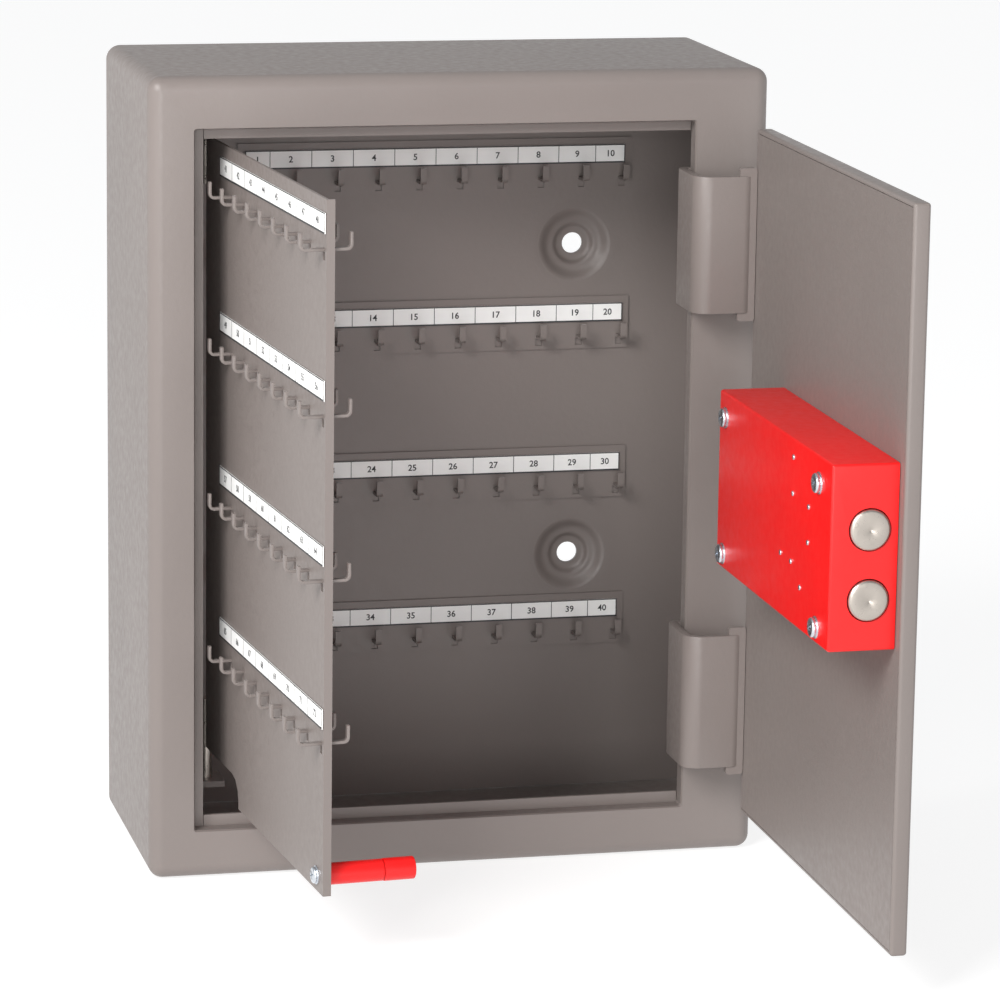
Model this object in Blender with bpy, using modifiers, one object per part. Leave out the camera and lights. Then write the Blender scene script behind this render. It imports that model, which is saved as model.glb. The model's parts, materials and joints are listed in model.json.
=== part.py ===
"""Wall-hung key cabinet: a folded steel body, a flush door on swan-neck hinges with a
boxed two-bolt key lock, four rows of numbered hooks on the back panel, and a swing-out
leaf with hooks on both of its faces.

Units are metres and +Z is up. The origin is the centre of the body's underside, +X is
the cabinet's right and +Y runs from its front to the wall. The door and the leaf are
modelled open, and the bolts drawn in.
"""

import math

import bpy
import bmesh
from mathutils import Matrix, Vector

# ---------------------------------------------------------------- driving dimensions
WIDTH = 0.310
DEPTH = 0.135
HEIGHT = 0.400
SHEET = 0.002
GAP = 0.0003
EDGE_RADIUS = 0.007

LEFT = -WIDTH / 2
RIGHT = WIDTH / 2
FRONT = -DEPTH / 2
BACK = DEPTH / 2

# Door opening in the front plate, its folded return and the stop strips behind it.
OPENING_LEFT = LEFT + 0.0225
OPENING_RIGHT = LEFT + 0.2725
OPENING_BOTTOM = 0.0245
OPENING_TOP = 0.3745
OPENING_RADIUS = 0.005
RETURN_DEPTH = 0.0087
STOP_FACE = FRONT + 0.009
STOP_REACH = 0.0055
STOP_FLANGE = 0.0085

# Back panel, set in from the wall by the depth of its four dished bolt holes.
PANEL_FACE = BACK - 0.007
DISH_RADIUS = 0.0195
DISH_STEP_RADIUS = 0.0102
BOLT_HOLE_RADIUS = 0.0055
BOLT_HOLE_X = 0.0892
BOLT_HOLE_Z = (0.1283, 0.2936)

# Door.
DOOR_GAP = 0.0015
DOOR_HINGE_GAP = 0.002
DOOR_THICKNESS = 0.008
DOOR_WIDTH = OPENING_RIGHT - OPENING_LEFT - DOOR_GAP - DOOR_HINGE_GAP
DOOR_BOTTOM = OPENING_BOTTOM + DOOR_GAP
DOOR_TOP = OPENING_TOP - DOOR_GAP

# The hinge axis lies inside the body, level with the closed door's inner face.
HINGE_X = OPENING_RIGHT + 0.0255
HINGE_Y = FRONT + DOOR_THICKNESS
HINGE_Z = (0.0845, 0.3160)
PIN_RADIUS = 0.003
NECK_HEIGHT = 0.068
NECK_FLARE = 0.004
NECK_THICKNESS = 0.004
NECK_CLEARANCE = 0.0275
NECK_ARM = 0.002
KNUCKLE_RADIUS = 0.0055
LUG = 0.003

# The open door stands square to the front: its inner face is on the hinge axis.
DOOR_INNER = HINGE_X
DOOR_OUTER = DOOR_INNER + DOOR_THICKNESS
DOOR_HINGE_EDGE = HINGE_Y - (HINGE_X - OPENING_RIGHT + DOOR_HINGE_GAP)
DOOR_FREE_EDGE = DOOR_HINGE_EDGE - DOOR_WIDTH

# Lock case on the door's inner face, and what it holds.
CASE_THICKNESS = 0.032
CASE_BOTTOM = 0.1685
CASE_TOP = 0.2548
CASE_FREE_END = DOOR_FREE_EDGE + 0.0075
CASE_LENGTH = 0.1825
CASE_SHEET = 0.0015
BOLT_RADIUS = 0.0095
BOLT_LENGTH = 0.0655
BOLT_PROUD = 0.0015
BOLT_X = DOOR_INNER - 0.0135
BOLT_Z = (0.1920, 0.2245)
KEY_Y = CASE_FREE_END + 0.108
KEY_Z = 0.211
BARREL_RADIUS = 0.006

# Swing-out leaf, drawn closed along +X from its pivot and then turned open.
PIVOT = Vector((LEFT + 0.0382, FRONT + 0.060, 0.0))
LEAF_OPEN_ANGLE = math.radians(85.4)
LEAF_WIDTH = 0.2215
LEAF_BOTTOM = 0.037
LEAF_TOP = 0.364
LEAF_SHEET = 0.0015
LEAF_FOLD = 0.0032
LEAF_NOTCH = (0.068, 0.015)
LEAF_GRIP_LENGTH = 0.0455
LEAF_GRIP_RADIUS = 0.0052

# Rows of hooks. Heights are the middles of the number strips.
BACK_ROWS = (0.3411, 0.2577, 0.1779, 0.0987)
LEAF_ROWS = (0.3530, 0.2760, 0.1990, 0.1220)
HOOK_WIDTH = 0.0032
HOOK_THICKNESS = 0.0014
HOOK_BEND = 0.0026
HOOK_DROP = 0.0130
HOOK_RISE = 0.0085
HOOK_REACH = 0.0120
STRIP_SHEET = 0.0008
SLOT_WIDTH = 0.0034
SLOT_HEIGHT = 0.0038
BACK_HOOKS = 10
BACK_PITCH = 0.0215
BACK_FIRST = LEFT + 0.0750
BACK_LABEL = (LEFT + 0.0698, LEFT + 0.2701)
ROW_PLATE = (LEFT + 0.0660, LEFT + 0.2736)
ROW_PLATE_SHEET = 0.0008
ROW_PLATE_ABOVE = 0.0085
ROW_PLATE_BELOW = 0.0190
LEAF_HOOKS = 8
LEAF_PITCH = 0.0233
LEAF_LAST = LEAF_WIDTH - 0.0045
LEAF_LABEL = (LEAF_WIDTH - 0.1885, LEAF_WIDTH - 0.0008)
LABEL_HEIGHT = 0.0096
LABEL_SHEET = 0.0005


# ---------------------------------------------------------------- scene and materials
def clear_scene():
    for item in list(bpy.data.objects):
        bpy.data.objects.remove(item, do_unlink=True)


def new_collection(name):
    group = bpy.data.collections.new(name)
    bpy.context.scene.collection.children.link(group)
    return group


def new_material(name, color, roughness, metallic):
    made = bpy.data.materials.new(name)
    made.use_nodes = True
    shader = made.node_tree.nodes["Principled BSDF"]
    shader.inputs["Base Color"].default_value = (*color, 1.0)
    shader.inputs["Roughness"].default_value = roughness
    shader.inputs["Metallic"].default_value = metallic
    return made


clear_scene()
PARTS = new_collection("key_cabinet")
CUTTERS = new_collection("key_cabinet_cutters")
PAINT = new_material("taupe_paint", (0.26, 0.23, 0.21), 0.45, 0.0)
RED = new_material("red_paint", (0.80, 0.02, 0.02), 0.35, 0.0)
ZINC = new_material("zinc_plated", (0.72, 0.73, 0.75), 0.30, 1.0)
STEEL = new_material("satin_steel", (0.62, 0.60, 0.57), 0.35, 1.0)
BRASS = new_material("lever_brass", (0.70, 0.52, 0.22), 0.35, 1.0)
LABEL = new_material("label_card", (0.85, 0.85, 0.84), 0.55, 0.0)


# ---------------------------------------------------------------- modelling helpers
def add_object(name, mesh, material=None):
    """A part in the parts collection, or, with no material, a hidden cutter."""
    made = bpy.data.objects.new(name, mesh)
    if material is None:
        CUTTERS.objects.link(made)
        made.hide_render = True
        made.display_type = "WIRE"
    else:
        PARTS.objects.link(made)
        mesh.materials.clear()
        mesh.materials.append(material)
    return made


def to_mesh(name, shape):
    """Turn a bmesh into a mesh, with round walls shaded smooth."""
    bmesh.ops.recalc_face_normals(shape, faces=shape.faces)
    mesh = bpy.data.meshes.new(name)
    shape.to_mesh(mesh)
    shape.free()
    mesh.shade_smooth()
    mesh.set_sharp_from_angle(angle=math.radians(35))
    return mesh


def box(name, low, high, material=None):
    low, high = Vector(low), Vector(high)
    shape = bmesh.new()
    place = Matrix.Translation((low + high) / 2) @ Matrix.Diagonal((*(high - low), 1.0))
    bmesh.ops.create_cube(shape, size=1.0, matrix=place)
    return add_object(name, to_mesh(name, shape), material)


def rounded_box(name, low, high, radius, axes, material=None, segments=3):
    """A box with the edges that run along the named axes rounded."""
    low, high = Vector(low), Vector(high)
    shape = bmesh.new()
    place = Matrix.Translation((low + high) / 2) @ Matrix.Diagonal((*(high - low), 1.0))
    bmesh.ops.create_cube(shape, size=1.0, matrix=place)
    chosen = []
    for edge in shape.edges:
        along = (edge.verts[1].co - edge.verts[0].co).normalized()
        if any(abs(along["XYZ".index(axis)]) > 0.9 for axis in axes):
            chosen.append(edge)
    bmesh.ops.bevel(shape, geom=chosen, offset=radius, segments=segments, profile=0.5,
                    affect="EDGES", clamp_overlap=True)
    return add_object(name, to_mesh(name, shape), material)


def cylinder(name, centre, axis, radius, length, material=None, sides=24):
    """A cylinder, its middle at centre."""
    shape = bmesh.new()
    turn = Vector((0, 0, 1)).rotation_difference(Vector(axis)).to_matrix().to_4x4()
    bmesh.ops.create_cone(shape, cap_ends=True, segments=sides, radius1=radius,
                          radius2=radius, depth=length,
                          matrix=Matrix.Translation(Vector(centre)) @ turn)
    return add_object(name, to_mesh(name, shape), material)


def combine(target, tool, how):
    step = target.modifiers.new(tool.name, "BOOLEAN")
    step.object = tool
    step.operation = how
    step.solver = "EXACT"


def cut(target, *tools):
    for tool in tools:
        combine(target, tool, "DIFFERENCE")


def join(target, *tools):
    for tool in tools:
        combine(target, tool, "UNION")


def turned(name, profile, centre, axis, material=None, sides=24):
    """A solid of revolution. The profile lists (radius, height), outer side first and
    top to bottom, and starts and ends on the axis or meets itself."""
    mesh = bpy.data.meshes.new(name)
    points = [(radius, 0.0, height) for radius, height in profile]
    edges = [(i, i + 1) for i in range(len(points) - 1)]
    if profile[0][0] > 0.0:
        edges.append((len(points) - 1, 0))
    mesh.from_pydata(points, edges, [])
    made = add_object(name, mesh, material)
    turn = Vector((0, 0, 1)).rotation_difference(Vector(axis)).to_matrix().to_4x4()
    made.matrix_world = Matrix.Translation(Vector(centre)) @ turn
    spin = made.modifiers.new("turn", "SCREW")
    spin.steps = sides
    spin.render_steps = sides
    spin.use_merge_vertices = True
    spin.merge_threshold = 0.00001
    return made


def evaluated_mesh(source, name, spent):
    """The source's mesh with its modifiers applied. The spent objects are removed."""
    view = bpy.context.evaluated_depsgraph_get()
    view.update()
    mesh = bpy.data.meshes.new_from_object(source.evaluated_get(view))
    mesh.name = name
    for item in spent:
        bpy.data.objects.remove(item, do_unlink=True)
    return mesh


def outline_plate(name, points, low, high, material=None):
    """A flat outline in the XY plane, filled and as tall as low to high."""
    curve = bpy.data.curves.new(name, "CURVE")
    curve.dimensions = "2D"
    curve.fill_mode = "BOTH"
    curve.extrude = (high - low) / 2
    line = curve.splines.new("POLY")
    line.points.add(len(points) - 1)
    for spot, (x, y) in zip(line.points, points):
        spot.co = (x, y, 0.0, 1.0)
    line.use_cyclic_u = True
    drawn = bpy.data.objects.new(name + "_outline", curve)
    CUTTERS.objects.link(drawn)
    flat = evaluated_mesh(drawn, name, (drawn,))
    shape = bmesh.new()
    shape.from_mesh(flat)
    bmesh.ops.remove_doubles(shape, verts=shape.verts, dist=0.00001)
    bmesh.ops.translate(shape, verts=shape.verts, vec=(0, 0, (low + high) / 2))
    return add_object(name, to_mesh(name, shape), material)


def arc(centre, radius, start, stop, steps):
    """Points on an arc in the XY plane, with its angles in degrees."""
    points = []
    for i in range(steps + 1):
        angle = math.radians(start + (stop - start) * i / steps)
        points.append((centre[0] + radius * math.cos(angle),
                       centre[1] + radius * math.sin(angle)))
    return points


# ---------------------------------------------------------------- body
def build_body():
    shell = rounded_box("body_shell", (LEFT, FRONT, 0), (RIGHT, BACK, HEIGHT),
                        EDGE_RADIUS, "XYZ", PAINT)
    # The rear edges stay square: the wrap runs on past them and is trimmed at the wall.
    for vert in shell.data.vertices:
        if vert.co.y > 0:
            vert.co.y += 2 * EDGE_RADIUS
    trim = box("cut_shell_rear", (LEFT - 0.01, BACK, -0.01),
               (RIGHT + 0.01, BACK + 0.05, HEIGHT + 0.01))
    hollow = rounded_box("cut_shell_hollow", (LEFT + SHEET, FRONT + SHEET, SHEET),
                         (RIGHT - SHEET, BACK + 0.05, HEIGHT - SHEET),
                         EDGE_RADIUS - SHEET, "XYZ")
    ring = rounded_box("add_return_ring",
                       (OPENING_LEFT - SHEET, FRONT + SHEET / 2, OPENING_BOTTOM - SHEET),
                       (OPENING_RIGHT + SHEET, FRONT + RETURN_DEPTH, OPENING_TOP + SHEET),
                       OPENING_RADIUS + SHEET, "Y")
    opening = rounded_box("cut_opening", (OPENING_LEFT, FRONT - 0.01, OPENING_BOTTOM),
                          (OPENING_RIGHT, FRONT + 0.03, OPENING_TOP), OPENING_RADIUS, "Y")
    cut(shell, trim, hollow)
    join(shell, ring)
    cut(shell, opening)


def build_stops():
    """Angle strips behind the opening's left, top and bottom edges. The right side has
    none, so that the swan necks can pass."""
    thick = SHEET
    foot = FRONT + SHEET + GAP
    outer = STOP_FLANGE + SHEET
    left_in = OPENING_LEFT + STOP_REACH
    left_out = OPENING_LEFT - outer
    low, high = OPENING_BOTTOM - outer, OPENING_TOP + outer

    left = box("door_stop_left", (left_out, STOP_FACE, low), (left_in, STOP_FACE + thick, high),
               PAINT)
    join(left, box("add_stop_left_foot", (left_out, foot, low),
                   (left_out + thick, STOP_FACE + thick / 2, high)))
    for name, inner, outside in (("top", OPENING_TOP - STOP_REACH, high),
                                 ("bottom", OPENING_BOTTOM + STOP_REACH, low)):
        face_low, face_high = min(inner, outside), max(inner, outside)
        web = outside - thick if outside > inner else outside
        strip = box("door_stop_" + name, (left_in + GAP, STOP_FACE, face_low),
                    (OPENING_RIGHT - GAP, STOP_FACE + thick, face_high), PAINT)
        join(strip, box("add_stop_foot_" + name, (left_in + GAP, foot, web),
                        (OPENING_RIGHT - GAP, STOP_FACE + thick / 2, web + thick)))


def build_back_panel():
    inset = SHEET + GAP
    panel = rounded_box("back_panel", (LEFT + inset, PANEL_FACE, inset),
                        (RIGHT - inset, PANEL_FACE + SHEET, HEIGHT - inset),
                        EDGE_RADIUS - SHEET, "Y", PAINT)
    depth = BACK - PANEL_FACE
    step = 0.6 * (depth - SHEET)
    for row, z in enumerate(BOLT_HOLE_Z):
        for side in (-1, 1):
            tag = "%d_%s" % (row + 1, "right" if side > 0 else "left")
            centre = (side * BOLT_HOLE_X, PANEL_FACE, z)
            cut(panel, cylinder("cut_dish_" + tag, centre, (0, 1, 0), DISH_RADIUS, 0.02))
            # Height is measured along +Y, from the panel's inner face to the wall.
            dish = turned("add_dish_" + tag, [
                (BOLT_HOLE_RADIUS, depth),
                (DISH_STEP_RADIUS, depth),
                (DISH_STEP_RADIUS + 0.002, step + SHEET),
                (DISH_RADIUS - 0.003, step + SHEET),
                (DISH_RADIUS + 0.001, SHEET - 0.0003),
                (DISH_RADIUS + 0.001, 0.0003),
                (DISH_RADIUS - 0.001, 0.0003),
                (DISH_RADIUS - 0.005, step),
                (DISH_STEP_RADIUS + 0.001, step),
                (DISH_STEP_RADIUS - 0.001, depth - SHEET),
                (BOLT_HOLE_RADIUS, depth - SHEET),
            ], centre, (0, 1, 0))
            join(panel, dish)
    return panel


# ---------------------------------------------------------------- hook rows
def hook_outline(reach):
    """A hook from the side: out along +X from inside the sheet, then up along +Y."""
    inside = -0.0006
    thick = HOOK_THICKNESS
    corner = (reach - HOOK_BEND, HOOK_BEND)
    points = [(inside, 0.0)]
    points += arc(corner, HOOK_BEND, -90, 0, 4)
    points += [(reach, HOOK_RISE), (reach - thick, HOOK_RISE)]
    points += arc(corner, HOOK_BEND - thick, 0, -90, 3)
    points += [(inside, thick)]
    return points


def add_hooks(sheet, tag, first, face, z, count, pitch, side=-1, reach=HOOK_REACH):
    """Joins a row of hooks to a sheet that lies across Y. Side -1 is its front face."""
    name = "hooks_" + tag
    hook = outline_plate(name, hook_outline(reach), -HOOK_WIDTH / 2, HOOK_WIDTH / 2)
    outward = Vector((0, side, 0))
    up = Vector((0, 0, 1))
    turn = Matrix((outward, up, outward.cross(up))).transposed().to_4x4()
    hook.data.transform(turn)
    hook.location = (first, face, z - HOOK_DROP)
    repeat_along_x(hook, count, pitch)
    join(sheet, hook)
    return hook


def hook_strip(name, first, face, z, count, pitch, side):
    """A narrow strip that carries a row of hooks, fixed to the leaf across its slots."""
    near = face + side * GAP
    far = near + side * STRIP_SHEET
    margin = HOOK_WIDTH / 2 + 0.0010
    foot = z - HOOK_DROP
    strip = box(name, (first - margin, min(near, far), foot - 0.0004),
                (first + (count - 1) * pitch + margin, max(near, far), foot + 0.0016), PAINT)
    hooks = add_hooks(strip, name, first, far, z, count, pitch, side,
                      HOOK_REACH - GAP - STRIP_SHEET)
    return [strip, hooks]


def add_slots(panel, tag, first, face, z, count, pitch):
    """Cuts the punched slot below each hook of a row."""
    top = z - HOOK_DROP - 0.0004
    slot = box("slots_" + tag, (first - SLOT_WIDTH / 2, face - 0.004, top - SLOT_HEIGHT),
               (first + SLOT_WIDTH / 2, face + 0.004, top))
    repeat_along_x(slot, count, pitch)
    cut(panel, slot)
    return slot


def repeat_along_x(item, count, pitch):
    row = item.modifiers.new("row", "ARRAY")
    row.count = count
    row.use_relative_offset = False
    row.use_constant_offset = True
    row.constant_offset_displace = (pitch, 0, 0)


def build_back_rows():
    """Each row is a plate with its hooks punched out of it, and a number strip above them."""
    rear = PANEL_FACE - GAP
    face = rear - ROW_PLATE_SHEET
    front = face - GAP
    reach = HOOK_REACH - GAP - ROW_PLATE_SHEET
    for i, z in enumerate(BACK_ROWS):
        plate = box("back_hook_plate_%d" % (i + 1), (ROW_PLATE[0], face, z - ROW_PLATE_BELOW),
                    (ROW_PLATE[1], rear, z + ROW_PLATE_ABOVE), PAINT)
        tag = "back_%d" % (i + 1)
        add_hooks(plate, tag, BACK_FIRST, face, z, BACK_HOOKS, BACK_PITCH, -1, reach)
        add_slots(plate, tag, BACK_FIRST, face, z, BACK_HOOKS, BACK_PITCH)
        box("back_label_%d" % (i + 1), (BACK_LABEL[0], front - LABEL_SHEET, z - LABEL_HEIGHT / 2),
            (BACK_LABEL[1], front, z + LABEL_HEIGHT / 2), LABEL)


# ---------------------------------------------------------------- door and its hinges
def build_door():
    """A folded pan with an inner plate set into it. The lock's barrel passes through both."""
    pan = rounded_box("door_skin", (DOOR_INNER, DOOR_FREE_EDGE, DOOR_BOTTOM),
                      (DOOR_OUTER, DOOR_HINGE_EDGE, DOOR_TOP), 0.0015, "XYZ", PAINT, 2)
    hollow = box("cut_door_hollow",
                 (DOOR_INNER - 0.01, DOOR_FREE_EDGE + SHEET, DOOR_BOTTOM + SHEET),
                 (DOOR_OUTER - SHEET, DOOR_HINGE_EDGE - SHEET, DOOR_TOP - SHEET))
    inset = SHEET + GAP
    plate = box("door_inner_plate", (DOOR_INNER, DOOR_FREE_EDGE + inset, DOOR_BOTTOM + inset),
                (DOOR_INNER + SHEET, DOOR_HINGE_EDGE - inset, DOOR_TOP - inset), PAINT)
    keyhole = cylinder("cut_door_keyhole", (DOOR_INNER, KEY_Y, KEY_Z), (1, 0, 0),
                       BARREL_RADIUS + 0.0005, 0.06)
    cut(pan, hollow, keyhole)
    cut(plate, keyhole)


def neck_outline():
    """The swan neck in plan, from its knuckle round the opening's edge to the door."""
    inner = NECK_CLEARANCE
    outer = inner + NECK_THICKNESS
    arm_front = HINGE_Y + NECK_ARM
    arm_back = arm_front + NECK_THICKNESS
    end = DOOR_INNER - GAP
    x_in, x_out = HINGE_X - inner, HINGE_X - outer
    y_in, y_out = HINGE_Y - inner - 0.0005, HINGE_Y - outer - 0.0005
    rear_bend, front_bend, door_bend = 0.006, 0.009, 0.0065
    small = front_bend - NECK_THICKNESS
    points = [(HINGE_X - 0.002, arm_front), (HINGE_X - 0.002, arm_back)]
    points += arc((x_out + rear_bend, arm_back - rear_bend), rear_bend, 90, 180, 4)
    points += arc((x_out + front_bend, y_out + front_bend), front_bend, 180, 270, 6)
    points += arc((end - door_bend, y_out + door_bend), door_bend, 270, 328, 4)
    points += [(end, y_in - 0.0008), (end, y_in)]
    points += arc((x_in + small, y_in + small), small, 270, 180, 4)
    points += arc((x_in + 0.002, arm_front - 0.002), 0.002, 180, 90, 2)
    return points


def build_hinges():
    outline = neck_outline()
    for tag, z in zip(("lower", "upper"), HINGE_Z):
        low, high = z - NECK_HEIGHT / 2, z + NECK_HEIGHT / 2
        neck = outline_plate("hinge_neck_" + tag, outline, low, high, PAINT)
        knuckle = cylinder("add_knuckle_" + tag, (HINGE_X, HINGE_Y, z), (0, 0, 1),
                           KNUCKLE_RADIUS, NECK_HEIGHT)
        bore = cylinder("cut_knuckle_" + tag, (HINGE_X, HINGE_Y, z), (0, 0, 1),
                        PIN_RADIUS + 0.0003, 0.2)
        # The plate widens where it meets the door.
        flare_y = HINGE_Y - NECK_CLEARANCE - 0.0005
        flare = rounded_box("add_flare_" + tag,
                            (DOOR_INNER - 0.009, flare_y - 0.0032, low - NECK_FLARE),
                            (DOOR_INNER - GAP, flare_y, high + NECK_FLARE), 0.0014, "Y")
        join(neck, knuckle, flare)
        cut(neck, bore)
        build_bracket(tag, z, bore)
        pin = cylinder("hinge_pin_" + tag, (HINGE_X, HINGE_Y, z), (0, 0, 1), PIN_RADIUS,
                       NECK_HEIGHT + 0.012, STEEL)
        head = cylinder("add_pin_head_" + tag, (HINGE_X, HINGE_Y, z + NECK_HEIGHT / 2 + 0.0055),
                        (0, 0, 1), 0.005, 0.0016)
        join(pin, head)


def build_bracket(tag, z, bore):
    """A channel on the side wall, with a lug above and below the knuckle."""
    web = RIGHT - SHEET - GAP
    half = NECK_HEIGHT / 2 + 0.0006
    y_low, y_high = FRONT + EDGE_RADIUS, FRONT + 0.0165
    channel = box("hinge_bracket_" + tag, (web - 0.0018, y_low, z - half - LUG),
                  (web, y_high, z + half + LUG), PAINT)
    for side in (-1, 1):
        inside = z + side * half
        outside = inside + side * LUG
        lug = box("add_lug_%s_%d" % (tag, side),
                  (HINGE_X - 0.008, FRONT + SHEET + GAP, min(inside, outside)),
                  (web - 0.0009, y_high, max(inside, outside)))
        corner = box("cut_lug_corner_%s_%d" % (tag, side),
                     (web - 0.0045, FRONT, min(inside, outside) - 0.001),
                     (web + 0.001, y_low, max(inside, outside) + 0.001))
        join(channel, lug)
        cut(channel, corner)
    cut(channel, bore)


# ---------------------------------------------------------------- lock
def build_lock():
    back = DOOR_INNER - GAP
    cover = DOOR_INNER - CASE_THICKNESS
    hinge_end = CASE_FREE_END + CASE_LENGTH
    case = rounded_box("lock_case", (cover, CASE_FREE_END, CASE_BOTTOM),
                       (back + 0.006, hinge_end, CASE_TOP), 0.0015, "XYZ", RED, 2)
    cut(case,
        box("cut_case_hollow", (cover + CASE_SHEET, CASE_FREE_END + CASE_SHEET,
                                CASE_BOTTOM + CASE_SHEET),
            (back + 0.02, hinge_end - CASE_SHEET, CASE_TOP - CASE_SHEET)),
        box("cut_case_open_side", (back, CASE_FREE_END - 0.01, CASE_BOTTOM - 0.01),
            (back + 0.02, hinge_end + 0.01, CASE_TOP + 0.01)))
    inset = CASE_SHEET + GAP
    base = box("lock_base_plate", (back - 0.0025, CASE_FREE_END + inset, CASE_BOTTOM + inset),
               (back, hinge_end - inset, CASE_TOP - inset), STEEL)
    cut(base, cylinder("cut_base_keyhole", (back, KEY_Y, KEY_Z), (1, 0, 0),
                       BARREL_RADIUS + 0.0005, 0.02))
    build_bolts(case, cover)
    build_screws(case, cover)
    rounded_box("lock_lever_pack", (cover + 0.003, KEY_Y - 0.030, KEY_Z - 0.015),
                (cover + 0.0145, KEY_Y + 0.030, KEY_Z + 0.030), 0.004, "X", BRASS, 2)
    build_key_barrel(cover)


def build_bolts(case, cover):
    """Two round bolts on one bar, which carries the tail that the key pushes."""
    nose = CASE_FREE_END - BOLT_PROUD
    tail = nose + BOLT_LENGTH
    guide_y = CASE_FREE_END + 0.034
    guide = box("bolt_guide", (cover + CASE_SHEET + GAP, guide_y, CASE_BOTTOM + 0.004),
                (DOOR_INNER - 0.0032, guide_y + 0.003, CASE_TOP - 0.004), STEEL)
    for tag, z in zip(("lower", "upper"), BOLT_Z):
        middle = (BOLT_X, nose + BOLT_LENGTH / 2, z)
        cylinder("bolt_" + tag, middle, (0, 1, 0), BOLT_RADIUS, BOLT_LENGTH, STEEL)
        hole = cylinder("cut_bolt_hole_" + tag, middle, (0, 1, 0), BOLT_RADIUS + 0.0005, 0.12)
        cut(case, hole)
        cut(guide, hole)
    bar = box("bolt_bar", (BOLT_X - 0.008, tail + GAP, BOLT_Z[0] - 0.009),
              (BOLT_X + 0.008, tail + 0.005, BOLT_Z[1] + 0.009), STEEL)
    join(bar, box("add_bolt_tail", (BOLT_X + 0.001, tail + 0.002, KEY_Z + 0.0105),
                  (BOLT_X + 0.005, KEY_Y + 0.012, KEY_Z + 0.0185)))


def build_screws(case, cover):
    """Four pan-head screws hold the case."""
    spots = [(y, z) for y in (CASE_FREE_END + 0.0185, CASE_FREE_END + CASE_LENGTH - 0.011)
             for z in (CASE_BOTTOM + 0.0075, CASE_TOP - 0.012)]
    length = CASE_THICKNESS - 0.004
    for i, (y, z) in enumerate(spots):
        cut(case, cylinder("cut_screw_%d" % (i + 1), (cover, y, z), (1, 0, 0), 0.0024, 0.01,
                           None, 16))
        head = turned("lock_screw_%d" % (i + 1), [
            (0.0, length),
            (0.0020, length),
            (0.0020, -GAP),
            (0.0050, -GAP),
            (0.0050, -0.0014),
            (0.0036, -0.0028),
            (0.0, -0.0032),
        ], (cover, y, z), (1, 0, 0), ZINC, 16)
        head.data.shade_smooth()


def build_key_barrel(cover):
    """The turning barrel with its keyway and bit, and the fixed escutcheon outside."""
    inner_end = cover + 0.0165
    outer_end = DOOR_OUTER + 0.0015
    middle = (inner_end + outer_end) / 2
    barrel = cylinder("key_barrel", (middle, KEY_Y, KEY_Z), (1, 0, 0), BARREL_RADIUS,
                      outer_end - inner_end, STEEL)
    join(barrel, box("add_key_bit", (inner_end, KEY_Y - 0.002, KEY_Z - 0.0095),
                     (inner_end + 0.006, KEY_Y + 0.002, KEY_Z)))
    cut(barrel, box("cut_keyway", (outer_end - 0.012, KEY_Y - 0.001, KEY_Z - 0.0045),
                    (outer_end + 0.005, KEY_Y + 0.001, KEY_Z + 0.0045)))
    plate = turned("keyhole_escutcheon", [
        (0.0160, 0.0),
        (0.0160, 0.0010),
        (0.0135, 0.0022),
        (BARREL_RADIUS + 0.0004, 0.0022),
        (BARREL_RADIUS + 0.0004, 0.0),
    ][::-1], (DOOR_OUTER + GAP, KEY_Y, KEY_Z), (1, 0, 0), ZINC, 32)
    plate.data.shade_smooth()


# ---------------------------------------------------------------- swing-out leaf
def build_leaf():
    """Everything on the leaf hangs from one empty on its pivot, which turns it open."""
    holder = bpy.data.objects.new("leaf_axis", None)
    PARTS.objects.link(holder)
    holder.location = PIVOT
    holder.rotation_euler = (0, 0, -LEAF_OPEN_ANGLE)

    half = LEAF_SHEET / 2
    start = PIN_RADIUS + GAP
    panel = box("leaf_panel", (start, -half, LEAF_BOTTOM), (LEAF_WIDTH, half, LEAF_TOP), PAINT)
    fold = box("add_leaf_fold", (LEAF_WIDTH - LEAF_SHEET, -half, LEAF_BOTTOM),
               (LEAF_WIDTH, LEAF_FOLD, LEAF_TOP))
    across, up = LEAF_NOTCH
    notch = rounded_box("cut_leaf_notch", (-0.030, -0.01, LEAF_BOTTOM - 0.030),
                        (across, 0.01, LEAF_BOTTOM + up), 0.012, "Y")
    join(panel, fold)
    cut(panel, notch)
    riding = [panel, fold, notch]
    for tag, low, high in (("lower", LEAF_BOTTOM - 0.006, LEAF_BOTTOM + 0.040),
                           ("upper", LEAF_TOP - 0.024, LEAF_TOP + 0.006)):
        riding.append(cylinder("leaf_pivot_" + tag, (0, 0, (low + high) / 2), (0, 0, 1),
                               PIN_RADIUS, high - low, STEEL))
    riding += build_leaf_rows(panel, half)
    riding += build_leaf_grip(panel, half)
    for item in riding:
        item.parent = holder
    build_leaf_brackets()


def build_leaf_rows(panel, half):
    """Each row has a strip of hooks and a number strip on both faces, and slots between."""
    first = LEAF_LAST - (LEAF_HOOKS - 1) * LEAF_PITCH
    made = []
    for i, z in enumerate(LEAF_ROWS):
        tag = "leaf_%d" % (i + 1)
        made.append(add_slots(panel, tag, first, 0.0, z, LEAF_HOOKS, LEAF_PITCH))
        for face, side in (("front", -1), ("rear", 1)):
            made += hook_strip("leaf_%s_hooks_%d" % (face, i + 1), first, side * half, z,
                               LEAF_HOOKS, LEAF_PITCH, side)
            near = side * (half + GAP)
            far = near + side * LABEL_SHEET
            end = LEAF_LABEL[1] if side < 0 else LEAF_WIDTH - LEAF_SHEET - 2 * GAP
            made.append(box("leaf_%s_label_%d" % (face, i + 1),
                            (LEAF_LABEL[0], min(near, far), z - LABEL_HEIGHT / 2),
                            (end, max(near, far), z + LABEL_HEIGHT / 2), LABEL))
    return made


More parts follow.
